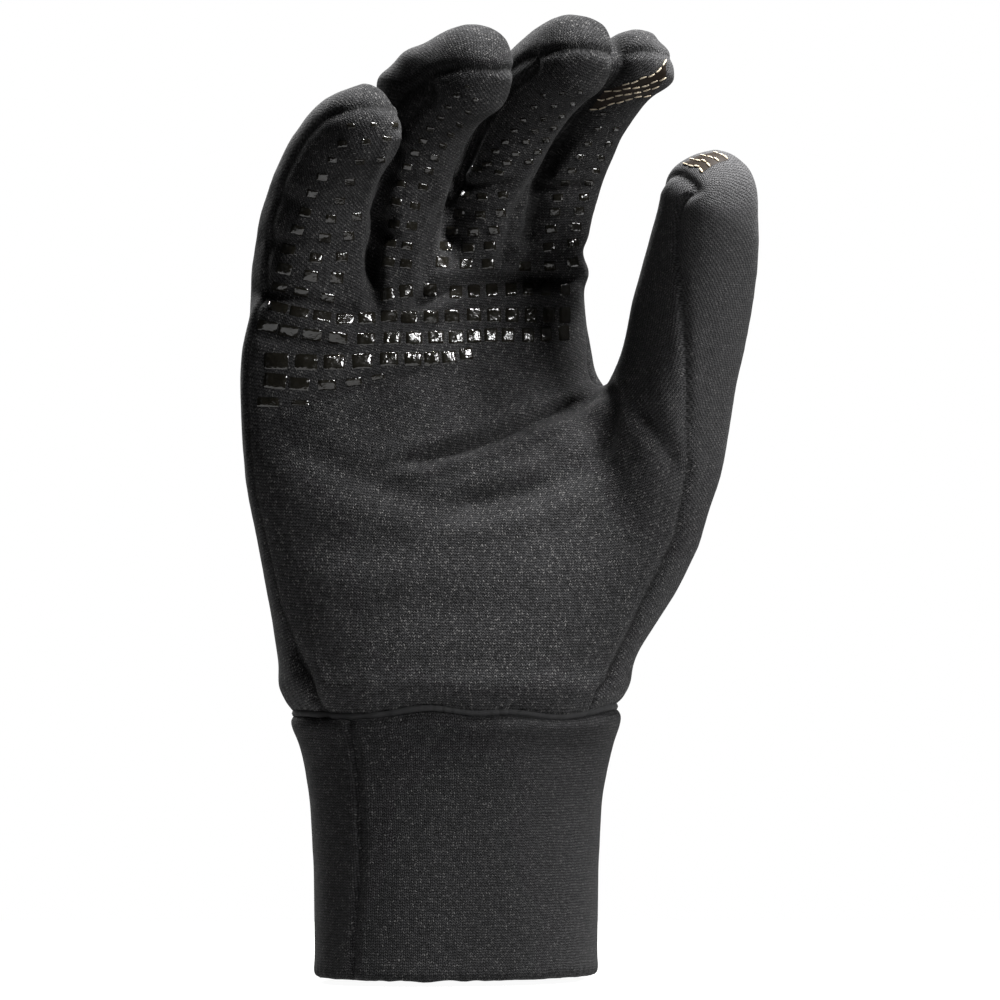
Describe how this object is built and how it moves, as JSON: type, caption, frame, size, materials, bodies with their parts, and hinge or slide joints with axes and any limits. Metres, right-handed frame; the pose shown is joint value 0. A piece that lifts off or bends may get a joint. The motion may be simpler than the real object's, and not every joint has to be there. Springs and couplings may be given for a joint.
{
  "type": "glove liner",
  "caption": "Thin jersey glove liner for the right hand with curled fingers, fourchettes, a doubled wrist cuff and a printed grip palm.",
  "frame": {"origin": "middle of the cuff's mouth at its hem, where the wrist goes in", "axes": "+Z from the wrist towards the fingertips, -Y out of the palm, +X towards the thumb"},
  "size_m": [0.1399, 0.0838, 0.2579],
  "materials": {
    "jersey": "matt",
    "cuff_jersey": "matt",
    "grip_print": "glossy",
    "touch_thread": "satin",
    "seam_thread": "matt"
  },
  "bodies": {
    "root": {"palm_panel": "jersey", "back_panel": "jersey", "fourchette_ring_little": "jersey", "fourchette_middle_ring": "jersey", "fourchette_index_middle": "jersey", "cuff": "cuff_jersey"}
  },
  "joints": []
}
